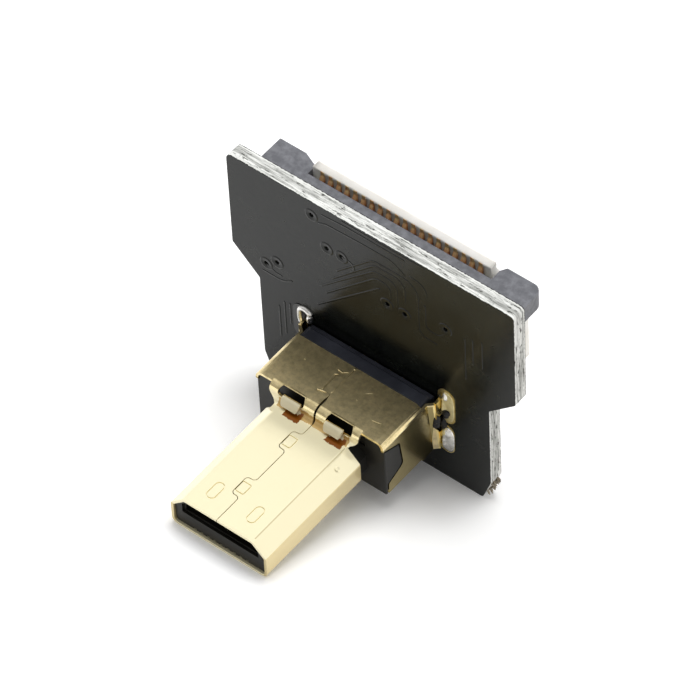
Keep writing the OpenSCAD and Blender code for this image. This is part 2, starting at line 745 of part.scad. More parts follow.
// Slider: bar, two ears, blade that presses the cable, and two guide arms
module cable_slider() {
    bar_low = conn_top - bar_h;
    color("#55565f") seated() {
        // Bar between the board and the room for the cable
        block([-ear_in[0] - 0.2, conn_y + 0.1, bar_low], [ear_in[1] + 0.2, blade_back, conn_top]);
        for (side = [0, 1]) mirror([1 - side, 0, 0]) {
            along_z(bar_low, conn_top) polygon(ear(side));
            block([guide_x - guide_w / 2, conn_y + 0.5 + slide_fit, shoulder_z - arm_l],
                  [guide_x + guide_w / 2, conn_y + 1.5 - slide_fit, bar_low + 0.1]);
        }
        // Wedge blade
        along_x(-cable[0] / 2 + slide_fit, cable[0] / 2 - slide_fit) polygon([
            [blade_y, bar_low + 0.1], [blade_y, shoulder_z - 2.6],
            [blade_y + blade_t / 3, shoulder_z - 2.9], [blade_y + blade_t * 0.7, shoulder_z - 2.4],
            [blade_back, shoulder_z - 1], [blade_back, bar_low + 0.1]
        ]);
    }
}

// Bent metal anchor at an end of the connector: a plate on the housing's end and a foot on the board
module anchor() {
    x = anchor_x + 0.01;
    plate = [[x, conn_y + 1.6], [x, conn_y + 0.06], [x + 0.49, conn_y + 0.06]];
    along_z(anchor_z - 0.8, anchor_z + 0.8) polygon(band(plate, 0.12));
}

module anchor_left() {
    color("#cfd1d4") seated() mirror([1, 0, 0]) anchor();
}

module anchor_right() {
    color("#cfd1d4") seated() anchor();
}

module anchor_solder() {
    fillet = [[0.56, 0], [0.75, 0], [0.56, 0.12]];
    color("#d4d6d8") seated() for (s = [0, 1]) mirror([s, 0, 0])
        translate([anchor_x, conn_y, 0]) along_z(anchor_z - 0.85, anchor_z + 0.85) polygon(fillet);
}

// Solder at the toe of each cable contact
module cable_solder() {
    toe = [[conn_y, tail_low - 0.18], [conn_y, tail_low], [conn_y + 0.12, tail_low]];
    color("#c9cbce") seated() at_ways() along_x(-0.13, 0.13) polygon(toe);
}

circuit_board();
board_pads();
plug_shell();
plug_insulator();
tail_comb();
for (i = [1:rows[0]]) plug_contact(true, i);
for (i = [1:rows[1]]) plug_contact(false, i);
shell_solder();
tail_solder();
cable_housing();
for (i = [1:ways]) cable_contact(i);
cable_slider();
anchor_left();
anchor_right();
anchor_solder();
cable_solder();
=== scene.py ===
import json
import math
from functools import partial

import bmesh
import bpy
import numpy as np
from bpy.props import FloatProperty, FloatVectorProperty, PointerProperty
from mathutils import Matrix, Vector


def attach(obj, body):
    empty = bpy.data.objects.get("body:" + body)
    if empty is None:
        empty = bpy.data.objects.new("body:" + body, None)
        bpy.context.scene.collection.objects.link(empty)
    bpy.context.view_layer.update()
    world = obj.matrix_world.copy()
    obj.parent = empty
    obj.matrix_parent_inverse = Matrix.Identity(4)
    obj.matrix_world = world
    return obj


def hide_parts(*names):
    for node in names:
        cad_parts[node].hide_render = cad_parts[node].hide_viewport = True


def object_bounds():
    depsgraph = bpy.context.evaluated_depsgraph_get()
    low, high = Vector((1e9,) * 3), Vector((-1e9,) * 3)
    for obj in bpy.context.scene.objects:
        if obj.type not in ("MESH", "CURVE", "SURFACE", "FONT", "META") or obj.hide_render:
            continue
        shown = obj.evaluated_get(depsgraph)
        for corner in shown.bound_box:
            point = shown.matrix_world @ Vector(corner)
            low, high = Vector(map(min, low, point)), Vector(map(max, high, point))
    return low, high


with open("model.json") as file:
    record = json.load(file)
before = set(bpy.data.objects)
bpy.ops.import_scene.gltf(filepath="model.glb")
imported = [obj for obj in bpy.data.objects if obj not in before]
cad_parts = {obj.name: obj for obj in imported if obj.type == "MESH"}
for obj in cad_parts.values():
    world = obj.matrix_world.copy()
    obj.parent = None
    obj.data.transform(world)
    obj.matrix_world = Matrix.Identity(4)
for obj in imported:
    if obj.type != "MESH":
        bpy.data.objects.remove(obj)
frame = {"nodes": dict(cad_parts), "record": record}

bl_info = {
    "name": "Micro plug adapter",
    "version": (1, 0, 0),
    "blender": (4, 5, 0),
    "location": "View3D > Sidebar > Adapter",
    "description": "Finishes, solder, traces and stage for a small plug adapter board",
    "category": "Object",
}

CAD_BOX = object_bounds()
MM = 0.001

# The part leans on its nose. LEAN is the angle from upright, read from the mount on its lower edge.
EDGE_AXIS = next(m["axis"] for m in frame["record"]["mounts"] if m["name"] == "lower_edge")
LEAN = math.atan2(EDGE_AXIS[1], -EDGE_AXIS[2])


# Places

def turned_about_x(points, angle):
    """Points turned by an angle about X."""
    x, y, z = np.moveaxis(np.asarray(points, float), -1, 0)
    c, s = math.cos(angle), math.sin(angle)
    return np.stack([x, y * c - z * s, y * s + z * c], -1)


def seated(points):
    """Upright millimetres to the part's frame in metres."""
    return turned_about_x(points, LEAN) * MM


def upright_box(name):
    """Lowest and highest corner of a node, upright, in millimetres: the turn above undone."""
    mesh = frame["nodes"][name].data
    p = np.empty(len(mesh.vertices) * 3)
    mesh.vertices.foreach_get("co", p)
    p = turned_about_x(p.reshape(-1, 3) / MM, -LEAN)
    return p.min(0), p.max(0)


HEAD_HALF, BOARD_T, BOARD_H = upright_box("circuit_board")[1]
# Half the waist, where the straight sides of the head start, and where those of the waist start and end
WAIST_HALF, HEAD_FOOT, WAIST_ENDS = 7.0, 8.6, (1.6, 6.7)
HOUSING_FOOT = upright_box("cable_housing")[0][2]
PAD_T = upright_box("board_pads")[1][1] - BOARD_T
TOE_TOP = upright_box("cable_contact_1")[0][2]
PLUG_CONTACTS = [n for n in frame["nodes"] if n.startswith("plug_contact_")]
CABLE_CONTACTS = [n for n in frame["nodes"] if n.startswith("cable_contact_")]
# The cable contacts stand half a millimetre apart
CABLE_XS = (np.arange(20) - 9.5) * 0.5

# Top of the cover's plate, the middle height of the plug, and the legs of the cover
COVER_TOP, AXIS_Z = 6.2, 4.25
LEG_X, LEG_ZS = 4.13, (3.0, 5.35)
# Upper bend of the step: height where it starts, its radius, and the front plane of the step
BEND_Z, BEND_R, STEP_Y = 5.74, 0.46, -4.48
# Windows in the step: middles across, middle height, half the straight part, end radius
WINDOW_X, WINDOW_Z, WINDOW_REACH, WINDOW_R = (-1.55, 1.38), 5.97, 0.55, 0.25
# Half the length of the wall behind the cable's mouth
WALL_HALF = 5.3


# Colours and nodes

def linear(hex_colour):
    """Linear RGB of an sRGB hex colour."""
    s = np.array([int(hex_colour[i:i + 2], 16) for i in (1, 3, 5)]) / 255
    return tuple(np.where(s <= 0.04045, s / 12.92, ((s + 0.055) / 1.055) ** 2.4).tolist())


def rgba(colour):
    """A colour property or an sRGB hex colour as the four linear numbers a socket takes. A socket stays."""
    if isinstance(colour, bpy.types.NodeSocket):
        return colour
    return (*(linear(colour) if isinstance(colour, str) else colour[:3]), 1.0)


def add_node(tree, kind, inputs=(), out=0, **settings):
    """Adds one shader node. settings are its properties. inputs gives its sockets, by name or number, each a
    constant or the socket that feeds it. Returns the output called out."""
    made = tree.nodes.new("ShaderNode" + kind)
    for key, value in settings.items():
        setattr(made, key, value)
    for key, value in dict(inputs).items():
        if isinstance(value, bpy.types.NodeSocket):
            tree.links.new(value, made.inputs[key])
        else:
            made.inputs[key].default_value = value
    return made.outputs[out] if len(made.outputs) else made


def emptied(tree):
    """Takes all nodes out of a tree. Returns add_node for that tree."""
    tree.nodes.clear()
    return partial(add_node, tree)


def new_material(name, lean=LEAN):
    """An empty node material, its add_node, and its upright coordinates in millimetres."""
    material = bpy.data.materials.new(name)
    material.use_nodes = True
    add = emptied(material.node_tree)
    place = add("TexCoord", out="Object")
    return material, add, add("Mapping", {"Vector": place, "Rotation": (-lean, 0, 0), "Scale": (1 / MM,) * 3})


# Mesh builders: every shape is a grid of points worked out as arrays

def quads(rows, cols, start, wrap):
    """Faces of a grid whose columns close round. With wrap its rows close too."""
    i, j = np.meshgrid(np.arange(rows if wrap else rows - 1), np.arange(cols), indexing="ij")
    k, n = (j + 1) % cols, (i + 1) % rows
    faces = np.stack([i * cols + j, i * cols + k, n * cols + k, n * cols + j], -1)
    return (faces.reshape(-1, 4) + start).tolist()


def tube(points, start=0):
    """A closed shape from rings of points (rows, columns, 3): quads between rings, one face over each end."""
    rows, cols = points.shape[:2]
    last = start + (rows - 1) * cols
    ends = [list(range(start, start + cols))[::-1], list(range(last, last + cols))]
    return points.reshape(-1, 3), quads(rows, cols, start, False) + ends


def ring(points, start=0):
    """A closed shape from rings of points that come back to the first ring, like a doughnut."""
    return points.reshape(-1, 3), quads(*points.shape[:2], start, True)


def piece(name, shapes, finish_name, replaces=()):
    """One smooth object from shapes, each a builder and its grid of upright points. The normals of its closed
    shapes are turned outwards. It rides on the adapter, as nothing is added to the slider."""
    points, faces, start = [], [], 0
    for build, grid in shapes:
        p, f = build(grid, start)
        points.append(p)
        faces += f
        start += len(p)
    mesh = bpy.data.meshes.new(name)
    mesh.from_pydata(seated(np.concatenate(points)).tolist(), [], faces)
    mesh.validate()
    work = bmesh.new()
    work.from_mesh(mesh)
    bmesh.ops.recalc_face_normals(work, faces=work.faces)
    work.to_mesh(mesh)
    work.free()
    mesh.polygons.foreach_set("use_smooth", np.ones(len(mesh.polygons), bool))
    mesh.materials.append(finish(finish_name))
    made = bpy.data.objects.new(name, mesh)
    bpy.context.scene.collection.objects.link(made)
    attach(made, "adapter")
    if replaces:
        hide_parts(*replaces)


def dress(finish_name, *names):
    """Gives CAD nodes that finish in each of their slots."""
    for name in names:
        for place in frame["nodes"][name].material_slots:
            place.material = finish(finish_name)


def unit(v):
    """Vectors cut or stretched to length 1."""
    return v / np.linalg.norm(v, axis=-1, keepdims=True)


def run_of(path):
    """Length run along a path up to each of its points."""
    return np.concatenate([[0], np.cumsum(np.linalg.norm(np.diff(path, axis=0), axis=1))])


def even(path, step):
    """Points about a step apart along a path: each coordinate is interpolated over the length run so far."""
    path = np.asarray(path, float)
    run = run_of(path)
    at = np.linspace(0, run[-1], max(4, int(run[-1] / step) + 2))
    return np.stack([np.interp(at, run, column) for column in path.T], -1)


def rounded(corners, radius, steps=6):
    """A path whose corners are rounded: from radius before each corner to radius after it runs the quadratic
    curve (1 - t)^2 A + 2 t (1 - t) C + t^2 B, with C the corner."""
    corners = np.asarray(corners, float)
    out = [corners[:1]]
    t = np.linspace(0, 1, steps + 1)[:, None]
    for before, corner, after in zip(corners[:-2], corners[1:-1], corners[2:]):
        u, v = before - corner, after - corner
        r = min(radius, 0.45 * np.linalg.norm(u), 0.45 * np.linalg.norm(v))
        a, b = corner + unit(u) * r, corner + unit(v) * r
        out.append((1 - t) ** 2 * a + 2 * t * (1 - t) * corner + t ** 2 * b)
    out.append(corners[-1:])
    return np.concatenate(out)


def bead(path, out, width, height, sides=8, closed=False):
    """A rounded bead along a path in space, half sunk in the surface whose outward direction is out. Each
    section is an ellipse, width across and height along out. Towards open ends both shrink as a quarter
    circle. Returns its builder and its grid."""
    path = np.asarray(path, float)
    along = unit(np.roll(path, -1, 0) - np.roll(path, 1, 0) if closed else np.gradient(path, axis=0))
    across = unit(np.cross(along, np.broadcast_to(np.asarray(out, float), path.shape)))
    rise = np.cross(across, along)
    size = np.ones(len(path))
    if not closed:
        run = run_of(path)
        size = np.sqrt(1 - (1 - np.clip(np.minimum(run, run[-1] - run) * 2 / width, 0.03, 1)) ** 2)
    a = np.linspace(0, 2 * np.pi, sides, endpoint=False)[None, :, None]
    section = across[:, None] * np.cos(a) * width / 2 + rise[:, None] * np.sin(a) * height
    return ring if closed else tube, path[:, None] + size[:, None, None] * section


def on_front(points):
    """Points (x, z) of the board's front as points in space."""
    p = np.asarray(points, float)
    return np.stack([p[:, 0], np.zeros(len(p)), p[:, 1]], -1)


def egg(angle, left, right, low, high, power):
    """Reach of a rounded D or egg outline at an angle: the superellipse (|cos/a|^n + |sin/b|^n)^(-1/n), with
    its own half width on each of the four sides."""
    c, s = np.cos(angle), np.sin(angle)
    across = np.abs(c) / np.where(c > 0, right, left)
    up = np.abs(s) / np.where(s > 0, high, low)
    return (across ** power + up ** power) ** (-1 / power)


def uneven(x, z, phase):
    """A gentle swell over a joint, at most about a tenth: sines of its place."""
    return 1 + 0.07 * np.sin(9 * x + 5 * z) + 0.05 * np.sin(17 * z - 6 * x + phase)


def crown(height, power=2, root=1, full=1, base=0.0, phase=None):
    """Rise of a mound: base + height (full - r^power)^root. The height swells where a phase is given. With a
    full just over 1 the rim of a round crown stands up a little."""
    def rise(x, z, r):
        swell = 1 if phase is None else uneven(x, z, phase)
        return base + height * (full - r ** power) ** root * swell
    return rise


def mound(middle, sides, power, rise, out=-1, around=24, steps=8, lobes=0.0):
    """A closed mound of solder or flux on one face of the board: out is -1 on the front, 1 on the back. Its
    outline is an egg about middle (x, z), with three lobes if lobes isn't 0. At the share r of its reach it
    stands rise(x, z, r) off the pads, and its foot is sunk a little. Returns its builder and its grid."""
    a = np.linspace(0, 2 * np.pi, around, endpoint=False)
    reach = egg(a, *sides, power) * (1 + lobes * np.sin(3 * a))
    share = np.concatenate([[1.0], np.linspace(1, 0.02, steps) ** 0.8])[:, None]
    x, z = middle[0] + share * reach * np.cos(a), middle[1] + share * reach * np.sin(a)
    face = -PAD_T if out < 0 else BOARD_T + PAD_T
    y = face + out * rise(x, z, share)
    y[0] = face - out * 0.02
    return tube, np.stack([x, np.broadcast_to(y, x.shape), z], -1)


def turned(profile, centre, around=24):
    """A profile (radius, y) turned about an axis along Y through the centre (x, z)."""
    profile = np.asarray(profile, float)
    a = np.linspace(0, 2 * np.pi, around, endpoint=False)
    r, y = profile[:, :1], np.repeat(profile[:, 1:], around, 1)
    return np.stack([centre[0] + r * np.cos(a), y, centre[1] + r * np.sin(a)], -1)


# Properties

def colour(name, about, default):
    return FloatVectorProperty(name=name, description=about, default=linear(default), subtype="COLOR",
                               size=3, min=0, max=1)


def length(name, about, default_mm):
    return FloatProperty(name=name, description=about, default=default_mm, min=0, soft_max=50)


def amount(name, about, default, unit="NONE"):
    return FloatProperty(name=name, description=about, default=default, unit=unit)


class AdapterColours(bpy.types.PropertyGroup):
    mask: colour("Solder mask", "Black epoxy mask over the board", "#0a0c09")
    mask_pale: colour("Mask bloom", "Faint paler bloom in the mask", "#141713")
    fibre: colour("Glass fibre", "Routed edge of the board", "#f3f4f0")
    fibre_grey: colour("Fibre streaks", "Streaks along the layers of the edge", "#a3a4a0")
    fibre_dark: colour("Fibre holes", "Resin and dust in the routed edge", "#474842")
    burr: colour("Burr", "Torn laminate at the lower right corner", "#6a5e4c")
    gold_nose: colour("Nose plating", "Pale gold plating of the nose", "#fff6d0")
    gold_cover: colour("Cover plating", "Deeper gold plating of the cover", "#fbe8b4")
    tarnish: colour("Worn plating", "Thin, brownish plating", "#c9a264")
    tongue: colour("Scraped tongues", "Beige, scraped tongues at the windows", "#cfc6a8")
    foot: colour("Bare brass", "Brassy foot of the step, where the plating is thin", "#b78f3e")
    wall: colour("Wall plating", "Dull brown gold on the side walls of the cover", "#8f8150")
    flange: colour("Flange plating", "Yellow gold on the flared feet of the cover", "#ffe79c")
    smudge: colour("Smudges", "Olive smudges on the cover", "#9c8b58")
    gold_side: colour("Side plating", "Deeper gold on the sides of the nose", "#dcc78e")
    rust: colour("Flux stain", "Orange-brown stain under the tongues", "#7c4300")
    pad: colour("Gold pads", "Gold on the board's pads", "#e2d29a")
    pad_dark: colour("Pad stain", "Brown flux stain on the pads", "#b39a5c")
    flux: colour("Burnt flux", "Dark flux left at the joints", "#0f0c09")
    plug_black: colour("Plug plastic", "Black moulding of the plug", "#15140f")
    comb_black: colour("Comb plastic", "Blue-black moulding behind the plug", "#2e3037")
    ivory: colour("Housing plastic", "Ivory moulding of the cable connector", "#fffaf0")
    slate: colour("Slider plastic", "Slate grey moulding of the slider", "#67686d")
    slate_light: colour("Slider mottling", "Paler streaks in the slider", "#808186")
    bronze: colour("Bronze contacts", "Tops of the cable connector's contacts", "#ecd59a")
    bronze_dark: colour("Bronze shade", "Bare bronze lower on the contacts", "#e0a070")
    solder: colour("Solder", "Bright tin solder", "#eceae6")
    solder_stain: colour("Stained solder", "Solder under a film of flux", "#d8cc9c")
    tin: colour("Tinned steel", "Anchors of the cable connector", "#cfcfcd")


class AdapterSizes(bpy.types.PropertyGroup):
    trace_w: length("Trace width", "Width of a copper trace under the mask, in mm", 0.13)
    trace_h: length("Trace height", "How far a trace lifts the mask, in mm", 0.016)
    via_ring: length("Via ring", "Outer diameter of the ring round a via, in mm", 0.84)
    via_bore: length("Via bore", "Bore of a via through its mask, in mm", 0.24)
    strand_w: length("Fibre strand", "Width of a strand torn up along the routed edge, in mm", 0.05)
    rim_w: length("Window rim", "Width of the burr round the windows in the sheet, in mm", 0.075)
    solder_h: length("Solder height", "How far solder climbs a leg, in mm", 0.24)
    cloth: length("Cloth layer", "Thickness of a layer of glass cloth in the edge, in mm", 0.17)


class AdapterStage(bpy.types.PropertyGroup):
    floor: amount("Floor", "Width of the floor", 1.2, "LENGTH")
    sky: amount("Sky", "Strength of the light from above and behind", 0.52)
    front: amount("Front", "Share of that strength on the camera's side", 0.45)
    side: amount("Side", "What the sky gains towards the right", 0.5)
    key: amount("Key lamp", "Power of the soft lamp overhead", 1.32, "POWER")
    lift: amount("Table lift", "What the open table adds where it is seen", 0.17)
    lens: amount("Lens", "Focal length of the camera", 292.04, "CAMERA")


def settings():
    scene = bpy.context.scene
    return scene.adapter_colours, scene.adapter_sizes, scene.adapter_stage


# Materials. Each recipe lays the nodes of one kind of finish, and returns the sockets of its shader

def patches(add, vector, scale, low, high, detail=3, rough=0.5, to=(0, 1), shine=None):
    """Noise with about scale patches to a millimetre, and a mask that runs over the range to as the noise
    runs from low to high. Where shine is given, also a roughness that runs over that range as the noise runs
    from 0.3 to 0.7."""
    noise = add("TexNoise", {"Vector": vector, "Scale": scale, "Detail": detail, "Roughness": rough})
    ranges = [(low, high, *to), (0.3, 0.7, *shine)] if shine else [(low, high, *to)]
    keys = "From Min", "From Max", "To Min", "To Max"
    return noise, *(add("MapRange", {"Value": noise, **dict(zip(keys, row))}) for row in ranges)


def layered(add, colour, *layers):
    """A colour with others over it: each layer is a mask and the colour that covers what lies under it."""
    for mask, over in layers:
        colour = add("Mix", {0: mask, 6: rgba(colour), 7: rgba(over)}, 2, data_type="RGBA")
    return colour


def box_mask(add, axes, middle, half, strength=1.0):
    """A mask that is strength in the box of those half sizes about middle, and 0 outside it."""
    for axis, m, h in zip(axes, middle, half):
        within = add("Math", {0: axis, 1: m, 2: h}, operation="COMPARE")
        strength = add("Math", {0: within, 1: strength}, operation="MULTIPLY")
    return strength


def solder_mask(add, at, routed):
    """Black epoxy mask, screened and cured over glass-fibre board: satin gloss with a faint orange peel.
    Where routed is true it also covers the cut edge, which is bare glass fibre: pale and rough, with grey
    streaks along the layers of cloth, dark torn spots, and a clean bright line of resin under each face."""
    colours, sizes, _ = settings()
    # The mask blooms paler over patches of about a millimetre, and its peel is about half a millimetre wide
    _, bloomed, rough = patches(add, at, 0.9, 0.38, 0.66, shine=(0.2, 0.29))
    skin = layered(add, colours.mask, (bloomed, colours.mask_pale))
    height = add("TexNoise", {"Vector": at, "Scale": 2.2, "Detail": 2})
    if routed:
        half = BOARD_T / 2
        y = add("SeparateXYZ", {"Vector": at}, "Y")
        depth = add("Math", {0: y, 1: half}, operation="SUBTRACT")
        depth = add("Math", {0: depth}, operation="ABSOLUTE")
        # The mask's border is chipped by up to 0.02 mm
        chipped = patches(add, at, 7, 0.35, 0.65, to=(-0.012, 0.02))[1]
        border = add("Math", {0: depth, 1: chipped}, operation="ADD")
        mask = add("MapRange", {"Value": border, "From Min": half - 0.035, "From Max": half - 0.02})
        line = add("MapRange", {"Value": border, "From Min": half - 0.13, "From Max": half - 0.1,
                                "To Max": 0.75})
        # Streaks are some 2 mm long and a layer of cloth thick; torn spots are about half a millimetre long
        streaks = add("Mapping", {"Vector": at, "Scale": (0.5, 1 / sizes.cloth, 0.5)})
        streaked = patches(add, streaks, 1.0, 0.4, 0.62, 4, 0.65)[1]
        torn = add("Mapping", {"Vector": at, "Scale": (1.9, 8, 1.9)})
        spots, spotted = patches(add, torn, 1.0, 0.56, 0.64, 4, 0.65)
        skin = layered(add, colours.fibre, (streaked, colours.fibre_grey), (spotted, colours.fibre_dark),
                       (line, colours.fibre), (mask, skin))
        rough = add("Mix", {0: mask, 2: 0.7, 3: rough})
        pits = add("Math", {0: spots, 1: -6.0}, operation="MULTIPLY")
        height = add("Mix", {0: mask, 2: pits, 3: height})
    normal = add("Bump", {"Height": height, "Distance": 0.004 * MM, "Strength": 1.0})
    return {"Base Color": skin, "Roughness": rough, "Normal": normal, "IOR": 1.5, "Specular IOR Level": 0.22}


# Zones of the sheet: middle and half size in upright mm, the colour property, how strongly it covers,
# roughness, and whether its outline wanders
SHEET_ZONES = [
    ((3.9, -2.5, 3.95), (0.2, 1.95, 1.8), "wall", 0.85, 0.24, False),
    ((-3.9, -2.5, 3.95), (0.2, 1.95, 1.8), "wall", 0.85, 0.24, False),
    ((4.35, -0.55, 4.2), (0.25, 0.5, 2.0), "flange", 0.8, 0.3, False),
    ((-2.95, -8.6, 3.9), (0.25, 4.0, 0.68), "gold_side", 0.8, 0.2, False),
    ((2.95, -8.6, 3.9), (0.25, 4.0, 0.68), "gold_side", 0.8, 0.2, False),
    # The crease between the flat top of the nose and its right facet
    ((2.1, -8.3, 5.33), (0.03, 3.4, 0.03), "smudge", 0.5, 0.2, False),
    ((-0.05, -4.5, 5.52), (2.15, 0.3, 0.2), "foot", 0.85, 0.3, True),
    ((-1.15, -4.74, 5.4), (0.47, 0.38, 0.1), "rust", 1.0, 0.35, True),
    ((1.46, -4.74, 5.4), (0.49, 0.38, 0.1), "rust", 1.0, 0.35, True),
    ((-1.43, -4.68, 5.7), (0.55, 0.17, 0.31), "tongue", 0.95, 0.48, True),
    ((1.18, -4.68, 5.7), (0.55, 0.17, 0.31), "tongue", 0.95, 0.48, True),
]


def gold_plated_sheet(add, at):
    """Thin brass sheet, stamped, folded and plated with pale gold. The nose, which the plating bath reached
    best, is pale and milky. The cover is a soft mirror, browner and smudged. The tongues at the windows are
    scraped matt by the tool that pressed them out, and flux has stained the foot of the step below them."""
    colours, _, _ = settings()
    # Clouds some 2 mm wide and freckles some 0.2 mm wide, where the plating is thin. The clouds also make the
    # shine of the nose a little uneven
    _, cloudy, rough = patches(add, at, 0.55, 0.45, 0.75, rough=0.55, to=(0, 0.2), shine=(0.1, 0.15))
    freckled = patches(add, at, 5.0, 0.3, 0.7, 2)[1]
    worn = add("Math", {0: cloudy, 1: freckled}, operation="MULTIPLY")
    place = add("SeparateXYZ", {"Vector": at}).node.outputs
    cover = add("MapRange", {"Value": place["Y"], "From Min": STEP_Y - 0.06, "From Max": STEP_Y + 0.06})
    worn = add("Math", {0: worn, 1: add("MapRange", {"Value": cover, "To Min": 0.25})}, operation="MULTIPLY")
    # Smudges a third of a millimetre across, on the cover only
    smudged = patches(add, at, 3.5, 0.35, 0.75, 5, 0.7, (0, 0.6))[1]
    smudged = add("Math", {0: smudged, 1: cover}, operation="MULTIPLY")
    plating = layered(add, colours.gold_nose, (cover, colours.gold_cover), (smudged, colours.smudge),
                      (worn, colours.tarnish))
    # The top of the cover is rougher
    plate = add("MapRange", {"Value": place["Z"], "From Min": COVER_TOP - 0.3, "From Max": COVER_TOP,
                             "To Max": 0.22})
    rough = add("Math", {0: cover, 1: plate, 2: rough}, operation="MULTIPLY_ADD")
    # The nose has the milky shine of a matt plating bath: half its light is scattered, and more near the step
    milky = add("MapRange", {"Value": place["Y"], "From Min": -6.2, "From Max": -4.7, "To Min": 0.5,
                             "To Max": 0.2})
    metal = add("Mix", {0: cover, 2: milky, 3: 1.0})
    # The outlines that wander do so by about 0.04 mm
    wander = add("TexNoise", {"Vector": at, "Scale": 6.0, "Detail": 2}, "Color")
    moved = add("VectorMath", {0: wander, 1: (0.5, 0.5, 0.5)}, operation="SUBTRACT")
    moved = add("VectorMath", {0: moved, "Scale": 0.2}, operation="SCALE")
    moved = add("VectorMath", {0: at, 1: moved}, operation="ADD")
    spot = add("SeparateXYZ", {"Vector": moved}).node.outputs
    for middle, half, key, strength, shine, wanders in SHEET_ZONES:
        inside = box_mask(add, spot if wanders else place, middle, half, strength)
        plating = layered(add, plating, (inside, getattr(colours, key)))
        rough = add("Mix", {0: inside, 2: rough, 3: shine})
    waves = add("TexNoise", {"Vector": at, "Scale": 1.3, "Detail": 1})
    normal = add("Bump", {"Height": waves, "Distance": 0.0008 * MM, "Strength": 1.0})
    return {"Base Color": plating, "Roughness": rough, "Normal": normal, "Metallic": metal}


def moulded(add, at, base, shade, roughness, flow, grain, glow):
    """Plastic, or the resin of torn laminate. Its colour drifts from base to shade over flow marks of that
    many mm, a grain of that many mm breaks the shine, and glow is the share of its light that goes under the
    skin."""
    colours, _, _ = settings()
    shine = roughness - 0.04, roughness + 0.05
    _, mixed, rough = patches(add, at, 1 / flow, 0.4, 0.66, 4, 0.65, shine=shine)
    fine = add("TexNoise", {"Vector": at, "Scale": 1 / grain, "Detail": 2})
    normal = add("Bump", {"Height": fine, "Distance": 0.002 * MM, "Strength": 1.0})
    return {"Base Color": layered(add, getattr(colours, base), (mixed, getattr(colours, shade, shade))),
            "Roughness": rough, "Normal": normal, "IOR": 1.6, "Specular IOR Level": 0.2,
            "Subsurface Weight": glow, "Subsurface Radius": (MM,) * 3, "Subsurface Scale": 1.0}


def bare_metal(add, at, base, shade, roughness, patch, mirrored, fade=None):
    """Metal whose colour and shine drift over patches of that many mm. mirrored is the share of its light
    that tarnish doesn't scatter. fade gives the heights between which base takes over from shade."""
    colours, _, _ = settings()
    shine = roughness - 0.05, roughness + 0.07
    drift, mixed, rough = patches(add, at, 1 / patch, 0.38, 0.68, rough=0.6, shine=shine)
    shade = getattr(colours, shade, shade)
    tint = layered(add, getattr(colours, base, base), (mixed, shade))
    if fade:
        z = add("SeparateXYZ", {"Vector": at}, "Z")
        low, high = fade
        faded = add("MapRange", {"Value": z, "From Min": low, "From Max": high, "To Min": 1, "To Max": 0})
        tint = layered(add, tint, (faded, shade))
    normal = add("Bump", {"Height": drift, "Distance": 0.002 * MM, "Strength": 1.0})
    return {"Base Color": tint, "Roughness": rough, "Normal": normal, "Metallic": mirrored}


def gold_pads(add, at):
    """Thin gold over nickel on copper, with flux stains: olive gold, slightly grainy. At the left upper leg
    the solder mask has crept over the pad, so that only its solder shows."""
    colours, _, _ = settings()
    _, stained, rough = patches(add, at, 2.0, 0.42, 0.7, rough=0.6, shine=(0.32, 0.44))
    crept = box_mask(add, add("SeparateXYZ", {"Vector": at}).node.outputs, (-4.6, 0, 5.4), (0.9, 0.2, 1.4))
    return {"Base Color": layered(add, colours.pad, (stained, colours.pad_dark), (crept, colours.mask)),
            "Roughness": add("Mix", {0: crept, 2: rough, 3: 0.24}),
            "Metallic": add("Math", {0: 1.0, 1: crept}, operation="SUBTRACT")}


def baked_flux(add, at):
    """Rosin flux, boiled out of the joints and baked: dark brown glass with paler, dusty spots."""
    colours, _, _ = settings()
    dust, dusty = patches(add, at, 5.0, 0.55, 0.8)
    rough = add("MapRange", {"Value": dust, "From Min": 0.35, "From Max": 0.7, "To Min": 0.16, "To Max": 0.5})
    return {"Base Color": layered(add, colours.flux, (dusty, "#3f3c2c")), "Roughness": rough, "IOR": 1.54,
            "Specular IOR Level": 0.2}


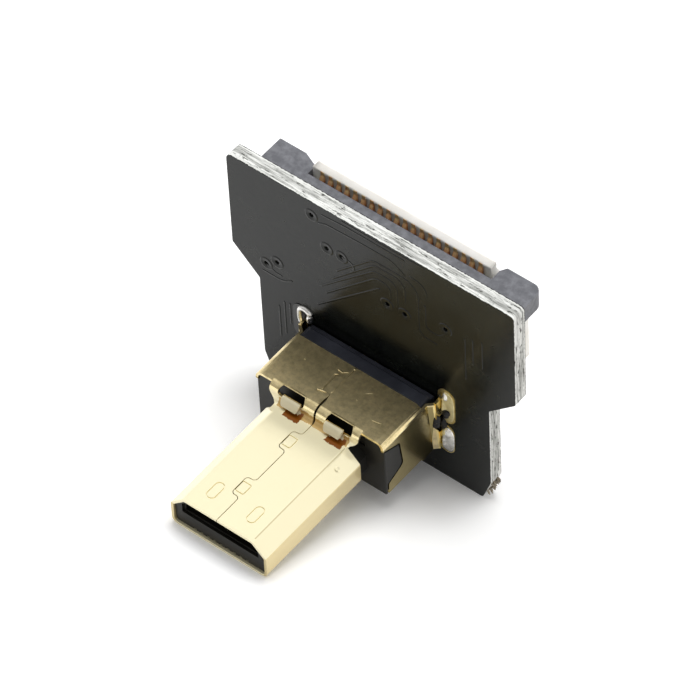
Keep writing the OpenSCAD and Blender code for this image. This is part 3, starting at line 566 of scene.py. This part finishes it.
# The finishes: each has its recipe and what the recipe is told. Colours are properties or sRGB hex
FINISHES = {
    "solder_mask_on_fibreglass": (solder_mask, True),
    "solder_mask_over_copper": (solder_mask, False),
    "immersion_gold_pads": (gold_pads,),
    "gold_plated_sheet": (gold_plated_sheet,),
    "baked_flux": (baked_flux,),
    # Liquid crystal polymer of the plug: black with a dull sheen
    "moulded_black_lcp": (moulded, "plug_black", "#1f1e1b", 0.42, 1.4, 0.06, 0.0),
    # The same polymer in the comb behind the plug: blue-black and satin
    "moulded_blue_black_lcp": (moulded, "comb_black", "#3c3e46", 0.36, 1.4, 0.06, 0.0),
    # Heat-proof nylon of the housing: warm ivory, satin, and light shines through its thin walls
    "moulded_ivory_nylon": (moulded, "ivory", "#f9f2e4", 0.45, 1.2, 0.07, 0.7),
    # Glass-filled plastic of the slider: slate grey, mottled where the fibres lie at the surface
    "moulded_slate_pps": (moulded, "slate", "slate_light", 0.5, 0.45, 0.06, 0.0),
    # Torn resin and glass at the corner of the board: dusty brown grey, dull
    "torn_laminate": (moulded, "burr", "#b5ac9b", 0.8, 0.25, 0.05, 0.0),
    # Stamped copper alloy with a flash of gold: warm and smooth
    "gold_flashed_contacts": (bare_metal, "#d8b878", "#9c7438", 0.26, 0.2, 1.0),
    # Stamped phosphor bronze: brassy top, redder and duller below
    "stamped_bronze_contacts": (bare_metal, "bronze", "bronze_dark", 0.48, 0.15, 0.35, (13.3, 13.65)),
    # Matt tin over steel: pale grey, soft shine
    "tinned_steel": (bare_metal, "tin", "#a8a8a6", 0.36, 0.25, 1.0),
    # Tin solder, flowed and cooled: bright, frosted where the grains show
    "bright_tin_solder": (bare_metal, "solder", "#c4c2bb", 0.25, 0.35, 1.0),
    # Tin solder under a baked film of flux: dull olive beige
    "flux_stained_solder": (bare_metal, "solder_stain", "#b3a677", 0.4, 0.5, 0.6),
}


def finish(name):
    """The material of that name in FINISHES, made when it is first asked for."""
    if name not in bpy.data.materials:
        recipe, *told = FINISHES[name]
        _, add, at = new_material(name)
        add("OutputMaterial", {"Surface": add("BsdfPrincipled", recipe(add, at, *told))})
    return bpy.data.materials[name]


# Operators

class ADAPTER_OT_board(bpy.types.Operator):
    """Gives the circuit board its mask and glass-fibre edge, and the pads their gold"""
    bl_idname = "adapter.board"
    bl_label = "Board finish"

    def execute(self, context):
        dress("solder_mask_on_fibreglass", "circuit_board")
        dress("immersion_gold_pads", "board_pads")
        return {"FINISHED"}


class ADAPTER_OT_edge(bpy.types.Operator):
    """Tears up fine strands of glass along the routed edge, and leaves a burr at the lower right corner"""
    bl_idname = "adapter.edge"
    bl_label = "Routed edge"

    def execute(self, context):
        _, sizes, _ = settings()
        draw = np.random.default_rng(7)
        top, head, waist = BOARD_H, HEAD_HALF, WAIST_HALF
        foot, (low, high) = HEAD_FOOT, WAIST_ENDS
        # Straight runs of the edge in (x, z), their outward directions, and the strands on each
        runs = [((-head + 0.4, top), (head - 0.3, top), (0, 1), 110),
                ((head, foot), (head, top - 0.3), (1, 0), 34),
                ((-head, foot), (-head, top - 0.4), (-1, 0), 30),
                ((waist, low), (waist, high), (1, 0), 26),
                ((-waist, low), (-waist, high), (-1, 0), 22)]
        strands = []
        for start, end, out, count in runs:
            start, end = np.array(start), np.array(end)
            span = np.linalg.norm(end - start)
            heading = (end - start) / span
            for _ in range(count):
                run = draw.uniform(0.25, 1.7)
                at = start + heading * draw.uniform(0, span - run)
                y = draw.uniform(0.07, BOARD_T - 0.07)
                sway = draw.uniform(-0.03, 0.03, 4)
                t = np.linspace(0, 1, 4)
                line = np.stack([at[0] + heading[0] * run * t, y + sway, at[1] + heading[1] * run * t], -1)
                width = sizes.strand_w * draw.uniform(0.6, 1.8)
                strands.append(bead(line, (out[0], 0, out[1]), width, width * 0.4, 5))
        # The burr: lumps of torn laminate in a row down the cut corner
        lumps = []
        for _ in range(26):
            t = draw.uniform(0, 1)
            x, z, y = 6.62 + 0.42 * t, 0.1 + 1.15 * t, draw.uniform(0.05, BOARD_T - 0.1)
            size = draw.uniform(0.05, 0.13)
            line = np.stack([x + np.linspace(-size, size, 4), y + draw.uniform(-0.05, 0.05, 4),
                             z + np.linspace(size, -size, 4) * 1.4], -1)
            lumps.append(bead(line, (0.8, -0.2, -0.3), size, size * 0.7, 6))
        piece("corner_burr", lumps, "torn_laminate")
        piece("routed_strands", strands, "solder_mask_on_fibreglass")
        return {"FINISHED"}


# Traces on the front face as corners (x, z), in mm from the middle and up from the lower edge
FRONT_TRACES = [
    [(-2.9, 14.37), (-1.4, 14.5), (-0.13, 14.5), (2.2, 14.5)],
    [(-3.1, 13.6), (-2.6, 13.85), (-0.15, 13.95), (1.4, 13.95), (2.2, 13.4)],
    [(-1.66, 14.75), (3.4, 14.75)],
    [(-6.85, 7.65), (-5.5, 7.65), (-4.88, 8.1)],
    [(-6.5, 8.27), (-5.9, 8.0), (-5.5, 8.0)],
    [(-2.82, 8.69), (0.37, 11.98), (1.0, 11.98), (1.22, 11.7), (1.22, 11.0)],
    [(-3.41, 7.42), (0.6, 11.42)],
    [(-3.15, 8.98), (-0.06, 12.1), (0.3, 12.45), (1.3, 12.45), (1.63, 12.1), (1.63, 10.6)],
    [(-2.4, 10.03), (-0.04, 12.53), (0.35, 12.9), (1.75, 12.9), (2.1, 12.5), (2.1, 11.3)],
    [(-2.1, 10.8), (0.2, 13.2), (2.3, 13.2), (2.88, 12.7), (2.88, 10.0), (3.2, 9.7), (4.0, 9.7)],
    [(2.4, 13.6), (3.1, 13.5), (3.42, 13.1), (3.42, 12.7)],
    [(3.3, 12.1), (3.3, 10.6), (3.57, 10.38), (4.17, 10.39), (4.61, 10.97)],
    [(-5.85, 5.65), (-5.85, 3.25)],
    [(-5.5, 6.2), (-5.5, 3.7)],
    [(-5.15, 6.3), (-5.15, 4.65)],
    [(-4.8, 6.1), (-4.8, 5.0)],
    [(5.64, 11.34), (5.64, 8.3)],
    [(6.1, 11.6), (6.1, 9.7)],
    [(6.66, 11.8), (6.66, 9.8)],
    [(-1.7, 12.1), (-1.1, 12.1), (-0.9, 11.7), (-1.2, 11.3)],
]
VIAS = [(-3.44, 13.93), (-2.6, 12.1), (-1.7, 12.1), (-6.5, 8.3), (-5.8, 8.85), (1.0, 10.55), (2.05, 10.55),
        (4.5, 11.18)]


class ADAPTER_OT_traces(bpy.types.Operator):
    """Raises the copper traces under the mask, in front as photographed and behind from pads to tails"""
    bl_idname = "adapter.traces"
    bl_label = "Traces"

    def execute(self, context):
        _, sizes, _ = settings()

        def trace(corners, radius, steps, y, out):
            """A flat bead round the corners (x, z), on the face at y."""
            path = even(on_front(rounded(corners, radius, steps)) + (0, y, 0), 0.08)
            return bead(path, (0, out, 0), sizes.trace_w, sizes.trace_h)

        front = [trace(corners, 0.35, 6, 0, -1) for corners in FRONT_TRACES]
        piece("traces_front", front, "solder_mask_over_copper")
        # Behind, each of the wide connector's pads runs down and in towards its tail, the outer ones furthest
        back, top = [], HOUSING_FOOT - 0.75
        for x in CABLE_XS:
            bend, drop = top - 0.35, 0.35 + 0.12 * abs(x)
            corners = [(x, top), (x, bend), (x - np.sign(x) * drop, bend - drop)]
            back.append(trace(corners, 0.15, 4, BOARD_T, 1))
        piece("traces_back", back, "solder_mask_over_copper")
        return {"FINISHED"}


class ADAPTER_OT_vias(bpy.types.Operator):
    """Lines each via: a raised ring of mask on both faces and a dark barrel through the board"""
    bl_idname = "adapter.vias"
    bl_label = "Vias"

    def execute(self, context):
        _, sizes, _ = settings()
        bore, rim, t = sizes.via_bore / 2, sizes.via_ring / 2, BOARD_T
        front = [(rim, 0.01), (rim * 0.96, -0.006), (rim * 0.86, -0.022), (rim * 0.74, -0.024),
                 (rim * 0.6, -0.012), (rim * 0.42, -0.006), (bore * 1.12, 0.0), (bore, 0.05)]
        back = [(r, t - y) for r, y in front[::-1]]
        shapes = [(ring, turned(front + back + [(rim, t / 2)], at)) for at in VIAS]
        piece("via_rings", shapes, "solder_mask_over_copper")
        return {"FINISHED"}


# Small marks on the cover's plate: path (x, y), width and height in mm
PLATE_MARKS = [
    # Burr where the seam's edges meet, and the key beside it
    ([(-0.75, -3.36), (-0.62, -3.3), (-0.5, -3.29), (-0.3, -3.25)], 0.1, 0.05),
    ([(-0.78, -3.38), (-0.66, -3.3)], 0.15, 0.06),
    ([(-0.59, -3.23), (-0.63, -2.79), (-0.67, -2.28), (-0.65, -2.07)], 0.05, 0.012),
    ([(-0.71, -2.16), (-0.52, -2.01)], 0.08, 0.035),
    ([(-0.75, -1.8), (-0.58, -1.83), (-0.4, -1.85)], 0.08, 0.03),
    ([(-0.42, -1.82), (-0.19, -1.65)], 0.06, 0.025),
    # Edge of the seam's right lip, with one bright spot
    ([(-0.09, -3.16), (-0.09, -2.47), (-0.09, -1.8), (-0.1, -1.25)], 0.05, 0.02),
    ([(-0.1, -1.42), (-0.06, -1.28)], 0.1, 0.035),
    # Scratches and specks
    ([(2.51, -3.29), (2.73, -3.27), (3.04, -3.2)], 0.05, 0.02),
    ([(1.27, -2.18), (1.54, -1.98)], 0.04, 0.008),
    ([(-2.44, -2.28), (-2.38, -2.24)], 0.07, 0.02),
    ([(1.14, -2.77), (1.2, -2.73)], 0.08, 0.025),
]


def step_skin(x, z):
    """Points and outward normals of the step's outer face at heights z: upright up to BEND_Z, then a quarter
    circle of radius BEND_R back to the plate."""
    up = np.clip((z - BEND_Z) / BEND_R, 0, 1)
    back = np.sqrt(1 - up ** 2)
    return np.stack([x, STEP_Y + BEND_R * (1 - back), z], -1), np.stack([0 * x, -back, up], -1)


class ADAPTER_OT_plug(bpy.types.Operator):
    """Gives the plug's folded sheet its gold, burrs and marks, and its mouldings their black plastics"""
    bl_idname = "adapter.plug"
    bl_label = "Plug"

    def execute(self, context):
        _, sizes, _ = settings()
        dress("gold_plated_sheet", "plug_shell")
        dress("moulded_black_lcp", "plug_insulator")
        dress("moulded_blue_black_lcp", "tail_comb")
        dress("gold_flashed_contacts", *PLUG_CONTACTS)
        marks = []
        # A fine burr runs round each window: a slot outline laid on the step's bend
        a, rim = np.linspace(0, 2 * np.pi, 73)[:-1], WINDOW_R + 0.02
        for middle in WINDOW_X:
            x = middle + np.sign(np.cos(a)) * WINDOW_REACH + rim * np.cos(a)
            z = np.minimum(WINDOW_Z + rim * np.sin(a), COVER_TOP - 0.005)
            loop = even(np.concatenate([np.stack([x, z], -1), [[x[0], z[0]]]]), 0.05)[:-1]
            place, normal = step_skin(loop[:, 0], loop[:, 1])
            marks.append(bead(place, normal, sizes.rim_w, 0.022, 6, closed=True))
        for path, width, height in PLATE_MARKS:
            flat = rounded(path, 0.1, 3)
            line = np.stack([flat[:, 0], flat[:, 1], np.full(len(flat), COVER_TOP)], -1)
            marks.append(bead(even(line, 0.05), (0, 0, 1), width, height, 6))
        # Bright lip beside the wide seam where it runs down the step
        z = np.linspace(5.66, COVER_TOP - 0.02, 14)
        place, normal = step_skin(np.full(14, 0.035), z)
        marks.append(bead(place, normal, 0.05, 0.02, 6))
        piece("sheet_burrs", marks, "gold_plated_sheet")
        return {"FINISHED"}


class ADAPTER_OT_cable_connector(bpy.types.Operator):
    """Finishes the flat-cable connector: ivory housing, slate slider, bronze contacts, tinned anchors"""
    bl_idname = "adapter.cable_connector"
    bl_label = "Cable connector"

    def execute(self, context):
        dress("moulded_ivory_nylon", "cable_housing")
        dress("moulded_slate_pps", "cable_slider")
        dress("stamped_bronze_contacts", *CABLE_CONTACTS)
        dress("tinned_steel", "anchor_left", "anchor_right")
        # A lip of the housing runs along the top of the mouth's rear wall and hides the ends of the contacts:
        # an outline in (y, z) with rounded corners, carried along X
        corners = [(2.7, 13.9), (2.48, 13.9), (2.48, 13.69), (2.95, 13.69), (2.95, 13.9), (2.7, 13.9)]
        outline = rounded(corners, 0.05, 4)[:-1]
        x, yz = np.broadcast_arrays(np.linspace(-WALL_HALF, WALL_HALF, 40)[:, None, None], outline)
        lip = np.concatenate([x[..., :1], yz], -1)
        piece("mouth_lip", [(tube, lip)], "moulded_ivory_nylon")
        # Each contact bellies out into the mouth. The belly's front line in (y, z) is carried across the
        # width of the contact, its sides are rounded over by sink, and its rear is flat
        line = rounded([(2.62, 13.7), (2.5, 13.66), (2.31, 13.4), (2.28, 13.05), (2.42, 12.7)], 0.15, 4)
        half, rear_y, across = 0.125, 2.66, np.linspace(-1, 1, 7)
        sink = 0.05 * across ** 4
        springs = []
        for x in CABLE_XS:
            front = np.stack(np.broadcast_arrays(x + half * across, line[:, :1] + sink, line[:, 1:]), -1)
            rear = front[:, ::-1].copy()
            rear[..., 1] = rear_y
            springs.append((tube, np.concatenate([front, rear], 1)))
        piece("contact_springs", springs, "stamped_bronze_contacts")
        return {"FINISHED"}


class ADAPTER_OT_solder(bpy.types.Operator):
    """Models the solder as it flowed round the cover's legs, the tails, the cable contacts and the anchors"""
    bl_idname = "adapter.solder"
    bl_label = "Solder joints"

    def execute(self, context):
        _, sizes, _ = settings()
        # Middle of a front joint, and the outer side of its leg
        joint_x, leg_side = LEG_X + 0.28, LEG_X + 0.1

        def climbing(base, height, power, climb, near, phase):
            """Rise of solder that lies base + height (1 - r^power) thick, and climbs a leg by
            climb exp(-d / near), with d the distance from the leg's outer side. The climb fades to the rim as
            1 - r^3."""
            def rise(x, z, r):
                film = base + height * (1 - r ** power)
                leg = climb * np.exp(-np.abs(np.abs(x) - leg_side) / near) * (1 - r ** 3)
                return (film + leg) * uneven(x, z, phase)
            return rise

        # Right upper joint: a thin stained film over the pad that climbs the leg. A stained heel on the lower
        # joint, where it meets the flange
        film = climbing(0.03, 0.05, 2.5, sizes.solder_h * 0.8, 0.12, 1)
        stained = [mound((joint_x, 5.44), (0.2, 0.5, 1.08, 1.08), 3.0, film, around=40, steps=12),
                   mound((4.3, 3.4), (0.14, 0.17, 0.42, 0.36), 2.2, crown(0.2, 2, 0.5, 1.02, phase=7))]
        piece("shell_joint_stained", stained, "flux_stained_solder")
        # Right lower and left lower joints, and the hooked left upper one with a blob at its end
        swell = climbing(0.02, 0.1, 2.2, sizes.solder_h, 0.14, 2)
        hook = [(-4.42, 5.45), (-4.52, 5.9), (-4.5, 6.45), (-4.2, 6.62), (-3.9, 6.5), (-3.78, 6.2)]
        hook = even(on_front(rounded(hook, 0.3, 5)) - (0, PAD_T * 0.6, 0), 0.06)
        blob = crown(0.26, 2, 0.5, 1.02, phase=3)
        joints = [mound((joint_x, 2.98), (0.2, 0.46, 0.9, 0.9), 2.8, swell, around=40, steps=12),
                  mound((-joint_x, 2.98), (0.46, 0.2, 0.9, 0.9), 2.8, swell, around=40, steps=12),
                  bead(hook, (0, -1, 0), 0.27, 0.19, 12),
                  mound((-3.84, 6.08), (0.17, 0.17, 0.3, 0.36), 2.2, blob, around=28, steps=9),
                  # A bright patch at the top of the stained joint, where the flux has flaked off
                  mound((4.4, 6.12), (0.17, 0.2, 0.3, 0.34), 2.2, crown(0.14, base=0.02, phase=6))]
        # Behind, a full mound stands round the tip of each leg
        full = crown(0.32, 2.4, 0.7, phase=4)
        joints += [mound((s * LEG_X, z), (0.44, 0.44, 0.88, 0.88), 2.6, full, 1, 32, 9)
                   for s in (-1, 1) for z in LEG_ZS]
        piece("shell_joints", joints, "bright_tin_solder", ["shell_solder"])

        # Tails: a small volcano round each of the plug's pins, in two rows above and two below the axis
        tails, draw = [], np.random.default_rng(11)
        for count, side in ((10, 1), (9, -1)):
            for i in range(1, count + 1):
                middle = (i - (count + 1) / 2) * 0.4, AXIS_Z + side * (1.25, 0.65)[i % 2]
                volcano = crown(0.22 * draw.uniform(0.9, 1.1), 1, 1.3, base=0.012)
                tails.append(mound(middle, (0.255,) * 4, 2.0, volcano, 1, 18, 6))
        piece("tail_joints", tails, "bright_tin_solder", ["tail_solder"])
        # Toes of the cable contacts: a small heel of solder runs out on each pad
        heel = crown(0.11, 1.6, base=0.01)
        toes = [mound((x, TOE_TOP - 0.02), (0.12, 0.12, 0.19, 0.05), 2.4, heel, 1, 16, 5) for x in CABLE_XS]
        piece("cable_joints", toes, "bright_tin_solder", ["cable_solder"])
        low, high = upright_box("anchor_solder")
        x, z, long = high[0] - 0.12, (low[2] + high[2]) / 2, crown(0.12, 2, 0.6, base=0.01)
        anchors = [mound((s * x, z), (0.12, 0.12, 0.84, 0.84), 3.2, long, 1, 28, 7) for s in (-1, 1)]
        piece("anchor_joints", anchors, "bright_tin_solder", ["anchor_solder"])
        # Flux: a dark pool inside the hooked joint, a knob and a pool under the stained one, and a drop on it
        knob = crown(0.17, 2, 0.5, 1.02, 0.05, 5)
        pools = [mound((-4.32, 5.62), (0.2, 0.24, 0.75, 0.62), 2.4, crown(0.05, base=0.01), -1, 32, 9),
                 mound((4.42, 5.0), (0.26, 0.27, 0.34, 0.36), 2.2, knob, -1, 32, 9, lobes=0.12),
                 mound((4.12, 4.0), (0.3, 0.32, 0.6, 0.6), 2.2, crown(0.12, base=0.02, phase=8), -1, 32, 9),
                 mound((4.3, 5.42), (0.05, 0.06, 0.2, 0.2), 2.0, crown(0.1, 2, 0.5, 1.02, 0.05), -1, 16, 6)]
        # A black drop hangs on the flange between its two legs
        drop = even([(4.2, -0.45, 4.95), (4.17, -0.47, 4.5), (4.13, -0.5, 4.0)], 0.06)
        pools.append(bead(drop, (0.65, -0.76, -0.08), 0.36, 0.05, 10))
        piece("flux_pools", pools, "baked_flux")
        return {"FINISHED"}


# Camera of the photograph in the part's frame: its place in metres, and its right, up and backward directions
CAMERA_AT = (0.1130704, -0.1833737, 0.1750896)
CAMERA_AXES = ((0.782781, 0.609566, 0.125229), (-0.461049, 0.432927, 0.774602),
               (0.417956, -0.664081, 0.619927))
# Place and width of the soft lamp, in metres
LAMP_AT, LAMP_W = (-0.05, -0.02, 0.42), 0.36
# Footprint on the table: middle and half size of a box under the plug and one under the board, in mm
FOOTPRINT = [((0, -6.3), (2.8, 6.3)), ((-0.4, -0.8), (5.9, 1.3))]


def ways_of_seeing(add):
    """Two masks: what the camera sees straight, and what is seen in a mirror or through glass."""
    rays = add("LightPath").node.outputs
    mirrored = {0: rays["Is Glossy Ray"], 1: rays["Is Transmission Ray"]}
    return rays["Is Camera Ray"], add("Math", mirrored, operation="MAXIMUM")


def table_material(stage):
    """White laminate table: white where the camera or a mirror sees it, less the object's shadow."""
    material, add, at = new_material("white_laminate_table", 0)
    straight, mirrored = ways_of_seeing(add)
    direct = add("Math", {0: straight, 1: mirrored}, operation="MAXIMUM")
    matt = add("BsdfDiffuse", {"Color": layered(add, "#eeebe8", (direct, "#ffffff"))})
    # The lift to white starts at the object's footprint and is full 2 mm out. The distance to each box of the
    # footprint is the length of max(|p - middle| - half, 0)
    near = 100.0
    for middle, half in FOOTPRINT:
        away, none = at, (0, 0, 0)
        for step, by in (("SUBTRACT", (*middle, 0)), ("ABSOLUTE", none), ("SUBTRACT", (*half, 100)),
                         ("MAXIMUM", none)):
            away = add("VectorMath", {0: away, 1: by}, operation=step)
        away = add("VectorMath", {0: away}, "Value", operation="LENGTH")
        near = add("Math", {0: away, 1: near}, operation="MINIMUM")
    lifted = add("MapRange", {"Value": near, "From Min": -0.1, "From Max": 2.1, "To Min": 0.02,
                              "To Max": stage.lift})
    lift = add("Emission", {"Strength": add("Math", {0: direct, 1: lifted}, operation="MULTIPLY")})
    add("OutputMaterial", {"Surface": add("AddShader", {0: matt, 1: lift})})
    return material


def studio_sky(stage):
    """A sky whose strength rises from the share front, towards -Y, to full overhead and behind. It gains side
    towards +X. The camera sees plain white."""
    world = bpy.data.worlds.new("studio_sky")
    world.use_nodes = True
    add = emptied(world.node_tree)
    straight, mirrored = ways_of_seeing(add)
    spot = add("SeparateXYZ", {"Vector": add("TexCoord", out="Generated")}).node.outputs
    depth = add("MapRange", {"Value": spot["Y"], "From Min": -0.75, "From Max": 0.0, "To Min": stage.front},
                interpolation_type="SMOOTHSTEP")
    side = add("MapRange", {"Value": spot["X"], "To Min": stage.sky, "To Max": stage.sky + stage.side})
    level = add("Mix", {0: mirrored, 2: side, 3: 1.0})
    strength = add("Math", {0: depth, 1: level}, operation="MULTIPLY")
    strength = add("Mix", {0: straight, 2: strength, 3: 1.0})
    add("OutputWorld", {"Surface": add("Background", {"Color": (1, 1, 1, 1), "Strength": strength})})
    return world


class ADAPTER_OT_stage(bpy.types.Operator):
    """White table, a studio sky brighter behind than in front, one soft lamp and the photograph's camera"""
    bl_idname = "adapter.stage"
    bl_label = "Stage"

    def execute(self, context):
        _, _, stage = settings()
        scene = context.scene
        scene.view_settings.view_transform = "Standard"
        low, half = CAD_BOX[0][2], stage.floor / 2
        mesh = bpy.data.meshes.new("floor")
        mesh.from_pydata([(-half, -half, low), (half, -half, low), (half, half, low), (-half, half, low)], [],
                         [(0, 1, 2, 3)])
        mesh.materials.append(table_material(stage))
        floor = bpy.data.objects.new("floor", mesh)
        scene.collection.objects.link(floor)
        scene.world = studio_sky(stage)

        lamp = bpy.data.lights.new("key_softbox", "AREA")
        lamp.shape, lamp.size, lamp.energy = "DISK", LAMP_W, stage.key
        key = bpy.data.objects.new("key_softbox", lamp)
        scene.collection.objects.link(key)
        key.location = LAMP_AT
        key.rotation_euler = (-key.location).to_track_quat("-Z", "Y").to_euler()
        key.visible_glossy = False

        lens = bpy.data.cameras.new("camera")
        lens.sensor_width, lens.lens, lens.clip_start, lens.clip_end = 36, stage.lens, 0.01, 5
        camera = bpy.data.objects.new("camera", lens)
        scene.collection.objects.link(camera)
        rows = np.array([*CAMERA_AXES, CAMERA_AT]).T.tolist()
        camera.matrix_world = Matrix([*rows, (0, 0, 0, 1)])
        scene.camera = camera
        return {"FINISHED"}


class ADAPTER_PT_panel(bpy.types.Panel):
    """Lists the pieces and their settings"""
    bl_idname = "ADAPTER_PT_panel"
    bl_label = "Micro plug adapter"
    bl_space_type = "VIEW_3D"
    bl_region_type = "UI"
    bl_category = "Adapter"

    def draw(self, context):
        for operator in OPERATORS:
            self.layout.operator(operator.bl_idname)
        for group in settings():
            box = self.layout.box()
            for key in group.__annotations__:
                box.prop(group, key)


OPERATORS = (ADAPTER_OT_board, ADAPTER_OT_edge, ADAPTER_OT_traces, ADAPTER_OT_vias, ADAPTER_OT_plug,
             ADAPTER_OT_cable_connector, ADAPTER_OT_solder, ADAPTER_OT_stage)
GROUPS = {"adapter_colours": AdapterColours, "adapter_sizes": AdapterSizes, "adapter_stage": AdapterStage}


def register():
    for cls in (*GROUPS.values(), *OPERATORS, ADAPTER_PT_panel):
        bpy.utils.register_class(cls)
    for name, group in GROUPS.items():
        setattr(bpy.types.Scene, name, PointerProperty(type=group))


def unregister():
    for name in GROUPS:
        delattr(bpy.types.Scene, name)
    for cls in reversed((*GROUPS.values(), *OPERATORS, ADAPTER_PT_panel)):
        bpy.utils.unregister_class(cls)


def main():
    register()
    for operator in OPERATORS:
        group, name = operator.bl_idname.split(".")
        getattr(getattr(bpy.ops, group), name)()


if __name__ == "__main__":
    main()
